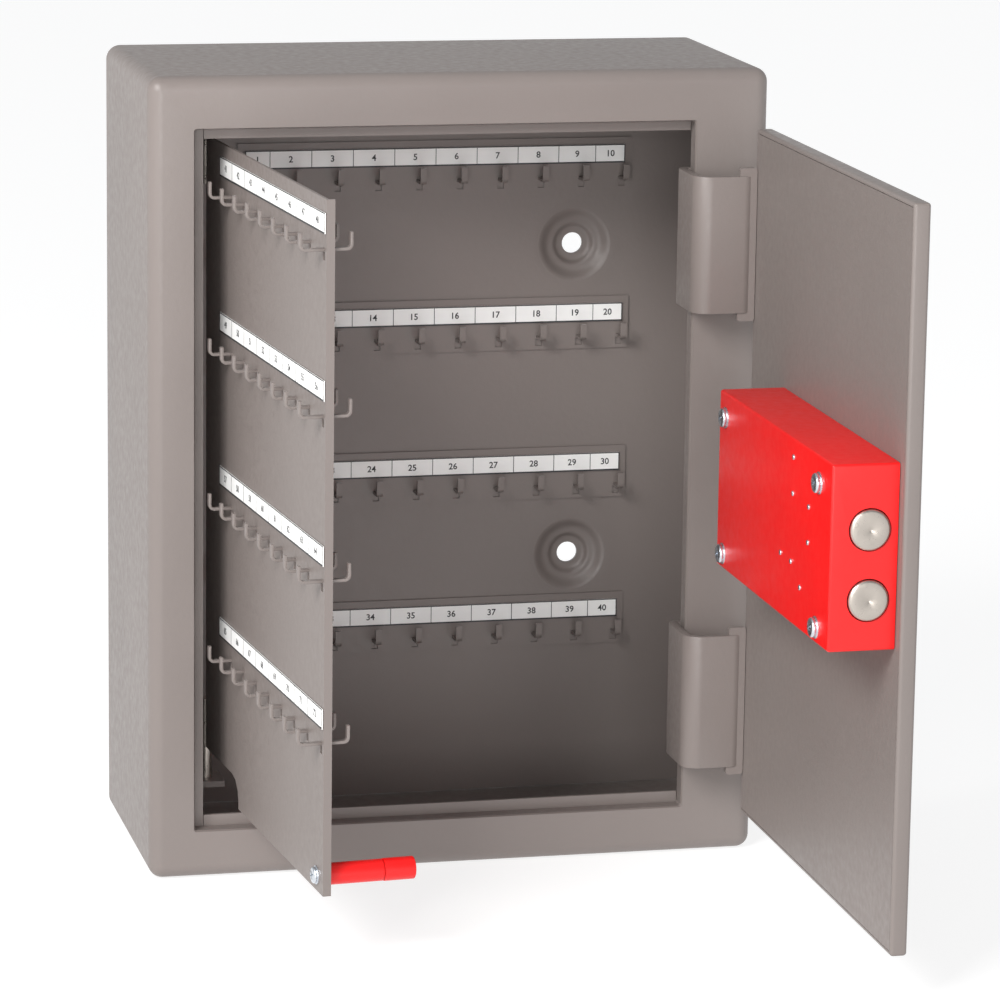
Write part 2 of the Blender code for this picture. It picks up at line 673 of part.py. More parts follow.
def build_leaf_grip(panel, half):
    """A red stand-off on the leaf's lower free corner, held by a screw from the front."""
    x, z = LEAF_WIDTH - 0.011, LEAF_BOTTOM + 0.0075
    body = LEAF_GRIP_LENGTH * 0.66
    start = half + GAP
    tube = cylinder("leaf_grip", (x, start + body / 2, z), (0, 1, 0), LEAF_GRIP_RADIUS, body, RED)
    cap_length = LEAF_GRIP_LENGTH - body - GAP
    cap = cylinder("leaf_grip_tip", (x, start + body + GAP + cap_length / 2, z), (0, 1, 0),
                   LEAF_GRIP_RADIUS + 0.0002, cap_length, RED)
    screw = turned("leaf_grip_screw", [
        (0.0, 0.012),
        (0.0016, 0.012),
        (0.0016, -half - GAP),
        (0.0045, -half - GAP),
        (0.0040, -half - 0.0024),
        (0.0, -half - 0.0032),
    ], (x, 0, z), (0, 1, 0), ZINC, 16)
    screw.data.shade_smooth()
    bore = cylinder("cut_grip_bore", (x, 0.0, z), (0, 1, 0), 0.0020, 0.03, None, 16)
    cut(panel, bore)
    cut(tube, bore)
    return [tube, cap, screw, bore]


def build_leaf_brackets():
    """Angle lugs on the left wall, above and below the leaf, that hold its pivots."""
    wall = LEFT + SHEET + GAP
    for tag, side, edge in (("lower", -1, LEAF_BOTTOM), ("upper", 1, LEAF_TOP)):
        near = edge + side * 0.0015
        far = near + side * LUG
        foot = near + side * 0.018
        lug = box("leaf_bracket_" + tag, (wall, PIVOT.y - 0.010, min(near, far)),
                  (PIVOT.x + 0.008, PIVOT.y + 0.010, max(near, far)), PAINT)
        join(lug, box("add_leaf_bracket_foot_" + tag, (wall, PIVOT.y - 0.010, min(near, foot)),
                      (wall + 0.0025, PIVOT.y + 0.010, max(near, foot))))
        cut(lug, cylinder("cut_leaf_bracket_" + tag, (PIVOT.x, PIVOT.y, (near + far) / 2),
                          (0, 0, 1), PIN_RADIUS + 0.0003, 0.02))


build_body()
build_stops()
build_back_panel()
build_back_rows()
build_door()
build_hinges()
build_lock()
build_leaf()
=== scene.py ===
"""The looks of the wall-hung key cabinet: powder-coated steel, a red lock case, printed
number strips, folded hooks, welds and screws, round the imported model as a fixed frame.

Units are metres. +X is the cabinet's right, +Y runs from its front to the wall and +Z is up.
"""

import json
import math

import bmesh
import bpy
from mathutils import Matrix, Vector


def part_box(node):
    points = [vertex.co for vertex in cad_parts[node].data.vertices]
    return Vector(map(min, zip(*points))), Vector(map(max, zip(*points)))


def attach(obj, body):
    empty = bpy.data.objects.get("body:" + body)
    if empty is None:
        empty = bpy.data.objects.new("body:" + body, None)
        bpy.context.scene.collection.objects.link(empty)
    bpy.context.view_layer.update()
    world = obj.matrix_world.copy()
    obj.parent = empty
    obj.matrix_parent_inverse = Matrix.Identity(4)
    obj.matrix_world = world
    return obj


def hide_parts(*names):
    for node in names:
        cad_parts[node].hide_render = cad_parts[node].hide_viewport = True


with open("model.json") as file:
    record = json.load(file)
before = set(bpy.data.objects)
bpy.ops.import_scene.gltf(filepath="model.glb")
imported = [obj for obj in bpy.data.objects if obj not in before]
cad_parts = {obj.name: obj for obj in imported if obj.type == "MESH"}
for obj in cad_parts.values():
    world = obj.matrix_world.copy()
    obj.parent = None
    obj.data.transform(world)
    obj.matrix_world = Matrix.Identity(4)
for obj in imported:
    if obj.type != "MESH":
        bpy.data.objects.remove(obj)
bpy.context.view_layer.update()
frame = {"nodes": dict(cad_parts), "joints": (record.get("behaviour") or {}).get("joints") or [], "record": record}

NODES = frame["nodes"]
MM = 0.001


# ---------------------------------------------------------------- camera
CAMERA_TARGET = Vector((0.0207, -0.0675, 0.1871))
CAMERA_DISTANCE = 2.3451
CAMERA_YAW = math.radians(-13.45)
CAMERA_PITCH = math.radians(12.16)
CAMERA_ROLL = math.radians(0.80)
CAMERA_LENS = 170.1


def make_camera():
    """A long lens from the front left, a little above the cabinet."""
    out = Vector((math.sin(CAMERA_YAW) * math.cos(CAMERA_PITCH),
                  -math.cos(CAMERA_YAW) * math.cos(CAMERA_PITCH),
                  math.sin(CAMERA_PITCH)))
    right = Vector((math.cos(CAMERA_YAW), math.sin(CAMERA_YAW), 0.0))
    up = out.cross(right)
    rolled_right = math.cos(CAMERA_ROLL) * right + math.sin(CAMERA_ROLL) * up
    rolled_up = -math.sin(CAMERA_ROLL) * right + math.cos(CAMERA_ROLL) * up
    turn = Matrix((rolled_right, rolled_up, out)).transposed().to_4x4()
    data = bpy.data.cameras.new("camera")
    data.lens = CAMERA_LENS
    data.sensor_width = 36.0
    data.clip_start = 0.05
    data.clip_end = 50.0
    camera = bpy.data.objects.new("camera", data)
    camera.matrix_world = Matrix.Translation(CAMERA_TARGET + CAMERA_DISTANCE * out) @ turn
    bpy.context.scene.collection.objects.link(camera)
    bpy.context.scene.camera = camera


# ---------------------------------------------------------------- lights and floor
HORIZON = (1.0, 1.0, 1.0)
SKY = (0.42, 0.43, 0.44)
HORIZON_ENDS = 0.10
SKY_STARTS = 0.40

FLOOR_SIZE = 40.0
FLOOR_DROP = 0.0004
FLOOR_TONE = (0.34, 0.34, 0.34)
FLOOR_GLOW = 0.77

KEY_PLACE = (-1.54, -1.64, 1.62)
KEY_AIM = (0.0, -0.10, 0.20)
KEY_SIZE = (1.0, 1.0)
KEY_POWER = 66.0
KEY_TINT = (1.0, 0.985, 0.97)

FRONT_PLACE = (-0.65, -3.00, 0.60)
FRONT_AIM = (0.0, 0.0, 0.20)
FRONT_SIZE = (1.3, 1.0)
FRONT_POWER = 24.0
FRONT_TINT = (1.0, 0.99, 0.98)


def area_light(name, place, aim, size, power, tint):
    data = bpy.data.lights.new(name, "AREA")
    data.shape = "RECTANGLE"
    data.size, data.size_y = size
    data.energy = power
    data.color = tint
    light = bpy.data.objects.new(name, data)
    light.location = place
    light.rotation_euler = (Vector(aim) - Vector(place)).to_track_quat("-Z", "Y").to_euler()
    bpy.context.scene.collection.objects.link(light)


def make_world():
    """A plain studio: white round the horizon, and dimmer overhead."""
    world = bpy.data.worlds.new("studio")
    world.use_nodes = True
    tree = world.node_tree
    place = tree.nodes.new("ShaderNodeTexCoord")
    split = tree.nodes.new("ShaderNodeSeparateXYZ")
    ramp = tree.nodes.new("ShaderNodeValToRGB")
    ramp.color_ramp.elements[0].position = HORIZON_ENDS
    ramp.color_ramp.elements[0].color = (*HORIZON, 1.0)
    ramp.color_ramp.elements[1].position = SKY_STARTS
    ramp.color_ramp.elements[1].color = (*SKY, 1.0)
    tree.links.new(place.outputs["Generated"], split.inputs["Vector"])
    tree.links.new(split.outputs["Z"], ramp.inputs["Fac"])
    tree.links.new(ramp.outputs["Color"], tree.nodes["Background"].inputs["Color"])
    tree.nodes["Background"].inputs["Strength"].default_value = 1.0
    bpy.context.scene.world = world


def make_stage():
    """A white floor that glows a little, a key light from the upper left and a fill light."""
    make_world()
    bpy.context.scene.view_settings.view_transform = "Standard"

    bpy.ops.mesh.primitive_plane_add(size=FLOOR_SIZE, location=(0, 0, -FLOOR_DROP))
    floor = bpy.context.object
    floor.name = "floor"
    paper = bpy.data.materials.new("lit_white_paper")
    paper.use_nodes = True
    shader = paper.node_tree.nodes["Principled BSDF"]
    shader.inputs["Base Color"].default_value = (*FLOOR_TONE, 1.0)
    shader.inputs["Roughness"].default_value = 0.9
    shader.inputs["Specular IOR Level"].default_value = 0.1
    shader.inputs["Emission Color"].default_value = (1.0, 1.0, 1.0, 1.0)
    shader.inputs["Emission Strength"].default_value = FLOOR_GLOW
    floor.data.materials.append(paper)

    area_light("key", KEY_PLACE, KEY_AIM, KEY_SIZE, KEY_POWER, KEY_TINT)
    area_light("front", FRONT_PLACE, FRONT_AIM, FRONT_SIZE, FRONT_POWER, FRONT_TINT)


# ---------------------------------------------------------------- materials
class Paint:
    """Builds one procedural material, one named layer at a time."""

    def __init__(self, name, color, metallic=0.0):
        self.made = bpy.data.materials.new(name)
        self.made.use_nodes = True
        self.tree = self.made.node_tree
        self.shader = self.tree.nodes["Principled BSDF"]
        self.color = color
        self.shader.inputs["Metallic"].default_value = metallic
        self.place = self.tree.nodes.new("ShaderNodeTexCoord").outputs["Object"]

    def noise(self, scale, detail, stretch=(1.0, 1.0, 1.0)):
        mapping = self.tree.nodes.new("ShaderNodeMapping")
        mapping.inputs["Scale"].default_value = stretch
        self.tree.links.new(self.place, mapping.inputs["Vector"])
        noise = self.tree.nodes.new("ShaderNodeTexNoise")
        noise.inputs["Scale"].default_value = scale
        noise.inputs["Detail"].default_value = detail
        self.tree.links.new(mapping.outputs["Vector"], noise.inputs["Vector"])
        return noise.outputs["Fac"]

    def ramp(self, factor, low, high):
        """A colour or a grey between low and high, over the middle of a noise's range."""
        ramp = self.tree.nodes.new("ShaderNodeValToRGB")
        ramp.color_ramp.elements[0].position = 0.3
        ramp.color_ramp.elements[1].position = 0.7
        ramp.color_ramp.elements[0].color = (*low, 1.0)
        ramp.color_ramp.elements[1].color = (*high, 1.0)
        self.tree.links.new(factor, ramp.inputs["Fac"])
        return ramp.outputs["Color"]

    def tint(self, factor, spread):
        """Drifts the colour by a share of itself, either way."""
        low = [c * (1.0 - spread) for c in self.color]
        high = [min(c * (1.0 + spread), 1.0) for c in self.color]
        self.tree.links.new(self.ramp(factor, low, high), self.shader.inputs["Base Color"])

    def rough(self, factor, low, high):
        """Drifts the roughness between two values."""
        self.tree.links.new(self.ramp(factor, (low,) * 3, (high,) * 3),
                            self.shader.inputs["Roughness"])

    def bump(self, heights, distance, strength):
        """One bump for each (factor, share), the finest last."""
        normal = None
        for factor, share in heights:
            bump = self.tree.nodes.new("ShaderNodeBump")
            bump.inputs["Strength"].default_value = strength
            bump.inputs["Distance"].default_value = distance * share
            self.tree.links.new(factor, bump.inputs["Height"])
            if normal is not None:
                self.tree.links.new(normal, bump.inputs["Normal"])
            normal = bump.outputs["Normal"]
        self.tree.links.new(normal, self.shader.inputs["Normal"])


def orange_peel(coat):
    """The heights of a powder coat: its soft dimples, then its fine grain."""
    return [(coat.noise(420.0, 2.0), 1.0), (coat.noise(1500.0, 2.0), 0.35)]


def taupe_coat():
    """Fine-textured powder coat: a small orange peel, with a drift in tone over a panel."""
    coat = Paint("taupe_powder_coat", (0.198, 0.170, 0.159))
    coat.shader.inputs["Specular IOR Level"].default_value = 0.55
    coat.tint(coat.noise(9.0, 4.0), 0.035)
    coat.rough(coat.noise(260.0, 3.0), 0.36, 0.50)
    coat.bump(orange_peel(coat), 0.12 * MM, 0.55)
    return coat.made


def red_coat():
    """Smoother powder coat, on the lock case and the leaf's stand-off."""
    coat = Paint("red_powder_coat", (0.76, 0.005, 0.005))
    coat.tint(coat.noise(14.0, 3.0), 0.04)
    coat.rough(coat.noise(240.0, 2.0), 0.32, 0.42)
    coat.bump(orange_peel(coat), 0.05 * MM, 0.45)
    return coat.made


def zinc_plate():
    """Bright zinc on the screws, rivets and escutcheon."""
    plate = Paint("zinc_plate", (0.66, 0.70, 0.75), metallic=1.0)
    plate.tint(plate.noise(300.0, 3.0), 0.10)
    plate.rough(plate.noise(900.0, 3.0), 0.20, 0.42)
    plate.bump([(plate.noise(1800.0, 2.0), 1.0)], 0.03 * MM, 0.4)
    return plate.made


def turned_steel():
    """Satin steel, drawn or turned, with fine marks round it."""
    steel = Paint("satin_steel", (0.50, 0.455, 0.41), metallic=1.0)
    marks = steel.noise(90.0, 5.0, (1.0, 40.0, 1.0))
    steel.tint(marks, 0.07)
    steel.rough(steel.noise(700.0, 3.0), 0.26, 0.44)
    steel.bump([(marks, 1.0)], 0.03 * MM, 0.5)
    return steel.made


def lever_brass():
    """Dull brass, on the lever pack inside the lock."""
    brass = Paint("lever_brass", (0.70, 0.52, 0.22), metallic=1.0)
    brass.tint(brass.noise(160.0, 3.0), 0.08)
    brass.rough(brass.noise(500.0, 3.0), 0.28, 0.45)
    brass.bump([(brass.noise(900.0, 2.0), 1.0)], 0.02 * MM, 0.4)
    return brass.made


def label_card():
    """White card, a little glossy."""
    card = Paint("label_card", (0.93, 0.93, 0.92))
    card.tint(card.noise(60.0, 3.0), 0.03)
    card.rough(card.noise(500.0, 2.0), 0.42, 0.58)
    card.bump([(card.noise(1600.0, 2.0), 1.0)], 0.01 * MM, 0.3)
    return card.made


def ink_and_painted_shadow():
    """Near-black ink, uneven at the scale of the print. It also draws the dark rim of painted shadow round each
    number card.
    """
    ink = Paint("ink_and_painted_shadow", (0.035, 0.036, 0.040))
    ink.tint(ink.noise(900.0, 2.0), 0.25)
    ink.rough(ink.noise(800.0, 2.0), 0.45, 0.65)
    return ink.made


def weld_bead():
    """A painted weld: the same coat, over the ripples of the bead."""
    bead = Paint("painted_weld", (0.190, 0.163, 0.152))
    bead.tint(bead.noise(120.0, 3.0), 0.06)
    bead.rough(bead.noise(300.0, 3.0), 0.32, 0.48)
    bead.bump([(bead.noise(500.0, 3.0), 1.0)], 0.20 * MM, 0.6)
    return bead.made


TAUPE = taupe_coat()
RED = red_coat()
ZINC = zinc_plate()
STEEL = turned_steel()
BRASS = lever_brass()
CARD = label_card()
INK_AND_SHADOW = ink_and_painted_shadow()
WELD = weld_bead()

FINISHES = {"taupe_paint": TAUPE, "red_paint": RED, "zinc_plate": ZINC,
            "satin_steel": STEEL, "brass": BRASS, "label_card": CARD}


def finish_cad_nodes():
    """Gives each CAD node the finish that its slot names."""
    for part in frame["record"]["subparts"]:
        mesh = NODES[part["node"]].data
        mesh.materials.clear()
        mesh.materials.append(FINISHES[part["material_slot"]])


# ---------------------------------------------------------------- modelling helpers
def evaluated_mesh(source):
    """The source's mesh with its modifiers applied. The source and its tools are removed."""
    view = bpy.context.evaluated_depsgraph_get()
    view.update()
    mesh = bpy.data.meshes.new_from_object(source.evaluated_get(view))
    spent = [source] + [step.object for step in source.modifiers if step.type == "BOOLEAN"]
    for item in spent:
        bpy.data.objects.remove(item, do_unlink=True)
    return mesh


def linked(name, data):
    """A new object in the scene, round a mesh or a curve."""
    made = bpy.data.objects.new(name, data)
    bpy.context.scene.collection.objects.link(made)
    return made


def from_bmesh(name, shape):
    bmesh.ops.recalc_face_normals(shape, faces=shape.faces)
    mesh = bpy.data.meshes.new(name)
    shape.to_mesh(mesh)
    shape.free()
    return linked(name, mesh)


def box(name, low, high, radius=0.0, axes="XYZ", segments=6):
    """A box, with the edges that run along the named axes rounded."""
    low, high = Vector(low), Vector(high)
    shape = bmesh.new()
    place = Matrix.Translation((low + high) / 2) @ Matrix.Diagonal((*(high - low), 1.0))
    bmesh.ops.create_cube(shape, size=1.0, matrix=place)
    if radius:
        chosen = []
        for edge in shape.edges:
            along = (edge.verts[1].co - edge.verts[0].co).normalized()
            if any(abs(along["XYZ".index(axis)]) > 0.9 for axis in axes):
                chosen.append(edge)
        bmesh.ops.bevel(shape, geom=chosen, offset=radius, segments=segments, profile=0.5,
                        affect="EDGES", clamp_overlap=True)
    return from_bmesh(name, shape)


def facing(axis):
    """The turn that takes +Z to the axis."""
    return Vector((0, 0, 1)).rotation_difference(Vector(axis)).to_matrix().to_4x4()


def turned(name, profile, place, axis, steps):
    """A solid of revolution about axis. The profile's (radius, height) pairs start and
    end on the axis, or where they began, for a ring."""
    shape = bmesh.new()
    points = [shape.verts.new((radius, 0.0, height)) for radius, height in profile]
    edges = [shape.edges.new(pair) for pair in zip(points, points[1:])]
    bmesh.ops.spin(shape, geom=points + edges, axis=(0, 0, 1), cent=(0, 0, 0),
                   steps=steps, angle=math.tau, use_merge=True)
    bmesh.ops.remove_doubles(shape, verts=shape.verts, dist=0.001 * MM)
    bmesh.ops.transform(shape, matrix=Matrix.Translation(Vector(place)) @ facing(axis),
                        verts=shape.verts)
    return from_bmesh(name, shape)


def rod(name, radius, start, stop, place, axis, steps):
    """A plain cylinder along axis, for a cutter."""
    profile = [(0.0, start), (radius, start), (radius, stop), (0.0, stop)]
    return turned(name, profile, place, axis, steps)


def corner(radius_at, height_at, round_by, start, stop, steps):
    """Points on a round of a turned profile, with its angles in degrees."""
    points = []
    for i in range(steps + 1):
        angle = math.radians(start + (stop - start) * i / steps)
        points.append((radius_at + round_by * math.cos(angle),
                       height_at + round_by * math.sin(angle)))
    return points


def boolean(target, how, *tools):
    """Adds the tools to the target, or cuts them from it, once it is applied."""
    for tool in tools:
        step = target.modifiers.new(tool.name, "BOOLEAN")
        step.object = tool
        step.operation = how
        step.solver = "EXACT"
    return target


def applied(item):
    """The item again, with its modifiers applied to its mesh."""
    name = item.name
    mesh = evaluated_mesh(item)
    mesh.name = name
    return linked(name, mesh)


def piece(item, body, material, slot, *replaced, angle=35):
    """Finishes a piece: its material, its smooth shading, and the body that it rides on."""
    item.data.materials.clear()
    item.data.materials.append(material)
    item.data.shade_smooth()
    item.data.set_sharp_from_angle(angle=math.radians(angle))
    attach(item, body)
    if replaced:
        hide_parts(*replaced)
    return item


def merged(name, items):
    """Several mesh objects as one, each in its own place."""
    shape = bmesh.new()
    for item in items:
        item.data.transform(item.matrix_world)
        shape.from_mesh(item.data)
        bpy.data.objects.remove(item, do_unlink=True)
    mesh = bpy.data.meshes.new(name)
    shape.to_mesh(mesh)
    shape.free()
    return linked(name, mesh)


# ---------------------------------------------------------------- places in the frame
PAST = 10.0 * MM  # how far a cutter runs past what it cuts; some run a few times as far
SHELL_LOW, SHELL_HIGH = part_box("body_shell")
DOOR_LOW, DOOR_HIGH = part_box("door_skin")
CASE_LOW, CASE_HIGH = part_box("lock_case")
JOINTS = {joint["name"]: joint for joint in frame["joints"]}
LEAF_PIVOT = Vector((*JOINTS["leaf_hinge"]["pos_m"][:2], 0.0))
LEAF_OPEN = math.radians(JOINTS["leaf_hinge"]["range_deg"][1])
LEAF_PLACE = Matrix.Translation(LEAF_PIVOT) @ Matrix.Rotation(-LEAF_OPEN, 4, "Z")
WORLD_PLACE = Matrix.Identity(4)
ROWS = 4


def local_box(node, place):
    """A node's lowest and highest corners in the axes of a place."""
    back = place.inverted()
    points = [back @ vert.co for vert in NODES[node].data.vertices]
    low = Vector([min(point[i] for point in points) for i in range(3)])
    high = Vector([max(point[i] for point in points) for i in range(3)])
    return low, high


# ---------------------------------------------------------------- body
SHEET = 2.0 * MM
EDGE_RADIUS = 7.0 * MM
OPENING_LOW = Vector((SHELL_LOW.x + 22.5 * MM, 0.0, 24.5 * MM))
OPENING_HIGH = Vector((SHELL_LOW.x + 272.5 * MM, 0.0, 374.5 * MM))
OPENING_CORNER = 1.5 * MM
RETURN_DEPTH = 8.7 * MM
RETURN_CORNER = 3.0 * MM
MOUTH_EASE = 1.2 * MM


def body_shell():
    """The folded shell again, with rounder edges than the frame's."""
    front = SHELL_LOW.y
    past = Vector((0.0, 3 * PAST, 0.0))
    shell = box("cabinet_body", SHELL_LOW, SHELL_HIGH + past, EDGE_RADIUS, "XYZ", 8)
    inset = Vector((SHEET, SHEET, SHEET))
    trim = box("trim", (SHELL_LOW.x - PAST, SHELL_HIGH.y, -PAST), SHELL_HIGH + past + inset)
    hollow = box("hollow", SHELL_LOW + inset,
                 (SHELL_HIGH.x - SHEET, SHELL_HIGH.y + 6 * PAST, SHELL_HIGH.z - SHEET),
                 EDGE_RADIUS - SHEET, "XYZ", 4)
    ring = box("ring", (OPENING_LOW.x - SHEET, front + SHEET / 2, OPENING_LOW.z - SHEET),
               (OPENING_HIGH.x + SHEET, front + RETURN_DEPTH, OPENING_HIGH.z + SHEET),
               RETURN_CORNER, "Y", 4)
    opening = box("opening", (OPENING_LOW.x, front + SHEET / 2, OPENING_LOW.z),
                  (OPENING_HIGH.x, front + 3 * PAST, OPENING_HIGH.z), OPENING_CORNER, "Y", 4)
    ease = Vector((MOUTH_EASE, MOUTH_EASE, MOUTH_EASE))
    at_front = Vector((0.0, front, 0.0))
    mouth = box("mouth", OPENING_LOW + at_front - ease, OPENING_HIGH + at_front + ease,
                OPENING_CORNER, "Y", 4)
    boolean(shell, "DIFFERENCE", trim, hollow)
    boolean(shell, "UNION", ring)
    boolean(shell, "DIFFERENCE", opening)
    soft_mouth(mouth, front)
    boolean(shell, "DIFFERENCE", mouth)
    piece(applied(shell), "cabinet", TAUPE, "taupe_paint", "body_shell")


def soft_mouth(mouth, front):
    """Tapers the cutter of the opening's edge, which leaves a folded edge and no knife edge."""
    centre = (OPENING_LOW + OPENING_HIGH) / 2
    for vert in mouth.data.vertices:
        if vert.co.y > front:
            for axis in (0, 2):
                inward = MOUTH_EASE if vert.co[axis] < centre[axis] else -MOUTH_EASE
                vert.co[axis] += inward


# ---------------------------------------------------------------- back panel
DISH_X = 89.2 * MM
DISH_Z = (128.3 * MM, 293.6 * MM)
DISH_SKIN = 0.6 * MM
# (radius, depth) in millimetres, from the flat of the panel in to the bolt hole.
DISH_PROFILE = [(22.6, -0.04), (21.4, -0.03), (20.2, -0.01), (19.2, 0.06), (18.3, 0.22),
                (17.3, 0.70), (16.2, 1.45), (15.2, 2.15), (14.2, 2.62), (13.2, 2.82),
                (12.2, 2.86), (11.4, 2.92), (10.7, 3.15), (10.1, 3.60), (9.5, 4.15),
                (8.9, 4.55), (8.1, 4.74), (7.2, 4.80), (5.7, 4.82)]


def pressed_dishes():
    """A smooth skin of paint over each pressed dish of the back, round its bolt hole."""
    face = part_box("back_panel")[0].y
    skin = [(radius * MM, depth * MM) for radius, depth in DISH_PROFILE]
    skin += [(radius, depth + DISH_SKIN) for radius, depth in reversed(skin)]
    places = [(side * DISH_X, face, z) for side in (-1, 1) for z in DISH_Z]
    for i, place in enumerate(places):
        dish = turned("pressed_dish_%d" % (i + 1), skin + skin[:1], place, (0, 1, 0), 72)
        piece(dish, "cabinet", TAUPE, "taupe_paint", angle=60)


# ---------------------------------------------------------------- sheet metal
def arc(centre, radius, start, stop, steps):
    """Points along an arc in plan, with its angles in degrees."""
    points = []
    for i in range(steps + 1):
        angle = math.radians(start + (stop - start) * i / steps)
        points.append((centre[0] + radius * math.cos(angle),
                       centre[1] + radius * math.sin(angle)))
    return points


def prism(name, outline, low, high, ease):
    """An outline in plan raised from low to high, with its end faces' edges eased."""
    shape = bmesh.new()
    face = shape.faces.new([shape.verts.new((x, y, low)) for x, y in outline])
    made = bmesh.ops.extrude_face_region(shape, geom=[face])["geom"]
    lifted = [item for item in made if isinstance(item, bmesh.types.BMVert)]
    bmesh.ops.translate(shape, vec=(0, 0, high - low), verts=lifted)
    rims = [edge for edge in shape.edges if abs(edge.verts[0].co.z - edge.verts[1].co.z) < 1e-6]
    bmesh.ops.bevel(shape, geom=rims, offset=ease, segments=2, profile=0.5, affect="EDGES",
                    clamp_overlap=True)
    return from_bmesh(name, shape)


HOOK_WIDTH = 3.2 * MM
HOOK_SHEET = 1.4 * MM
HOOK_BEND = 2.9 * MM
HOOK_RISE = 8.5 * MM
HOOKS_IN_ROW = 8
HOOK_MARGIN = 1.0 * MM
HOOK_LIFT = 0.4 * MM
HOOK_EASE = 0.25 * MM
LEAF_HALF_SHEET = 0.75 * MM
ROOT_SINK = 0.2 * MM


def leaf_hooks():
    """Bent flat hooks on both faces of the leaf. Each row stands for its CAD strip."""
    for face, side in (("front", -1), ("rear", 1)):
        for row in range(ROWS):
            node = "leaf_%s_hooks_%d" % (face, row + 1)
            low, high = local_box(node, LEAF_PLACE)
            foot = low.z + HOOK_LIFT
            tip = low.y if side < 0 else high.y
            root = side * LEAF_HALF_SHEET
            reach = abs(tip - root)
            bend = (reach - HOOK_BEND, HOOK_BEND)
            outline = [(-ROOT_SINK, 0.0)] + arc(bend, HOOK_BEND, -90, 0, 8)
            outline += [(reach, HOOK_RISE), (reach - HOOK_SHEET, HOOK_RISE)]
            outline += arc(bend, HOOK_BEND - HOOK_SHEET, 0, -90, 8) + [(-ROOT_SINK, HOOK_SHEET)]
            first = low.x + HOOK_WIDTH / 2 + HOOK_MARGIN
            last = high.x - HOOK_WIDTH / 2 - HOOK_MARGIN
            out, up = Vector((0, side, 0)), Vector((0, 0, 1))
            stand = Matrix((out, up, out.cross(up))).transposed().to_4x4()
            items = []
            for k in range(HOOKS_IN_ROW):
                hook = prism("hook", outline, -HOOK_WIDTH / 2, HOOK_WIDTH / 2, HOOK_EASE)
                along = (last - first) * k / (HOOKS_IN_ROW - 1)
                at = Vector((first + along, root, foot))
                hook.data.transform(Matrix.Translation(at) @ stand)
                items.append(hook)
            hooks = merged("bent_hooks_%s_%d" % (face, row + 1), items)
            hooks.data.transform(LEAF_PLACE)
            piece(hooks, "leaf", TAUPE, "taupe_paint", node)


NECK_SHEET = 4.0 * MM
NECK_CLEARANCE = 27.5 * MM
NECK_REAR_BEND = 6.0 * MM
NECK_FRONT_BEND = 9.0 * MM
NECK_DOOR_BEND = 6.5 * MM
NECK_INNER_BEND = 2.0 * MM
NECK_FLARE = 4.0 * MM
NECK_SET_FORWARD = 0.5 * MM
TOE_SHEET = 0.8 * MM
NECK_EASE = 0.6 * MM
ARM_OFFSET = 2.0 * MM
DOOR_CLEARANCE = 0.3 * MM
KNUCKLE_RADIUS = 5.5 * MM
KNUCKLE_EASE = 0.2 * MM
PIN_BORE = 3.3 * MM
FOOT_LENGTH = 8.7 * MM
FOOT_SHEET = 3.2 * MM
FOOT_CORNER = 1.4 * MM


def neck_outline(axis, end, y_in):
    """The neck in plan: back past the opening's edge, round in front of it, and out to
    the door."""
    x_in = axis.x - NECK_CLEARANCE
    x_out = x_in - NECK_SHEET
    y_out = y_in - NECK_SHEET
    arm_front = axis.y + ARM_OFFSET
    arm_back = arm_front + NECK_SHEET
    rear, front, door = NECK_REAR_BEND, NECK_FRONT_BEND, NECK_DOOR_BEND
    small = front - NECK_SHEET
    inner = NECK_INNER_BEND
    outline = [(axis.x - ARM_OFFSET, arm_front), (axis.x - ARM_OFFSET, arm_back)]
    outline += arc((x_out + rear, arm_back - rear), rear, 90, 180, 10)
    outline += arc((x_out + front, y_out + front), front, 180, 270, 16)
    outline += arc((end - door, y_out + door), door, 270, 328, 10)
    outline += [(end, y_in - TOE_SHEET), (end, y_in)]
    outline += arc((x_in + small, y_in + small), small, 270, 180, 12)
    outline += arc((x_in + inner, arm_front - inner), inner, 180, 90, 6)
    return outline


def swan_necks():
    """The hinge necks with smooth bends and eased edges, their knuckles and their feet."""
    axis = Vector(JOINTS["door_last_swing"]["pos_m"])
    end = DOOR_LOW.x - DOOR_CLEARANCE
    y_in = axis.y - NECK_CLEARANCE - NECK_SET_FORWARD
    outline = neck_outline(axis, end, y_in)
    for tag in ("lower", "upper"):
        node = "hinge_neck_" + tag
        low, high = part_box(node)
        start, stop = low.z + NECK_FLARE, high.z - NECK_FLARE
        neck = prism("swan_neck_" + tag, outline, start, stop, NECK_EASE)
        height, face = stop - start, KNUCKLE_RADIUS - KNUCKLE_EASE
        knuckle = turned("knuckle", [(0.0, 0.0), (face, 0.0), (KNUCKLE_RADIUS, KNUCKLE_EASE),
                                     (KNUCKLE_RADIUS, height - KNUCKLE_EASE),
                                     (face, height), (0.0, height)],
                         (axis.x, axis.y, start), (0, 0, 1), 40)
        foot = box("foot", (end - FOOT_LENGTH, y_in - FOOT_SHEET, low.z), (end, y_in, high.z),
                   FOOT_CORNER, "Y", 5)
        bore = rod("bore", PIN_BORE, -2 * PAST, 12 * PAST, (axis.x, axis.y, low.z), (0, 0, 1),
                   32)
        boolean(neck, "UNION", knuckle, foot)
        boolean(neck, "DIFFERENCE", bore)
        piece(applied(neck), "door", TAUPE, "taupe_paint", node, angle=25)


COVER_SHEET = 1.5 * MM
COVER_EDGE = 1.3 * MM
BOLT_CLEARANCE = 0.5 * MM


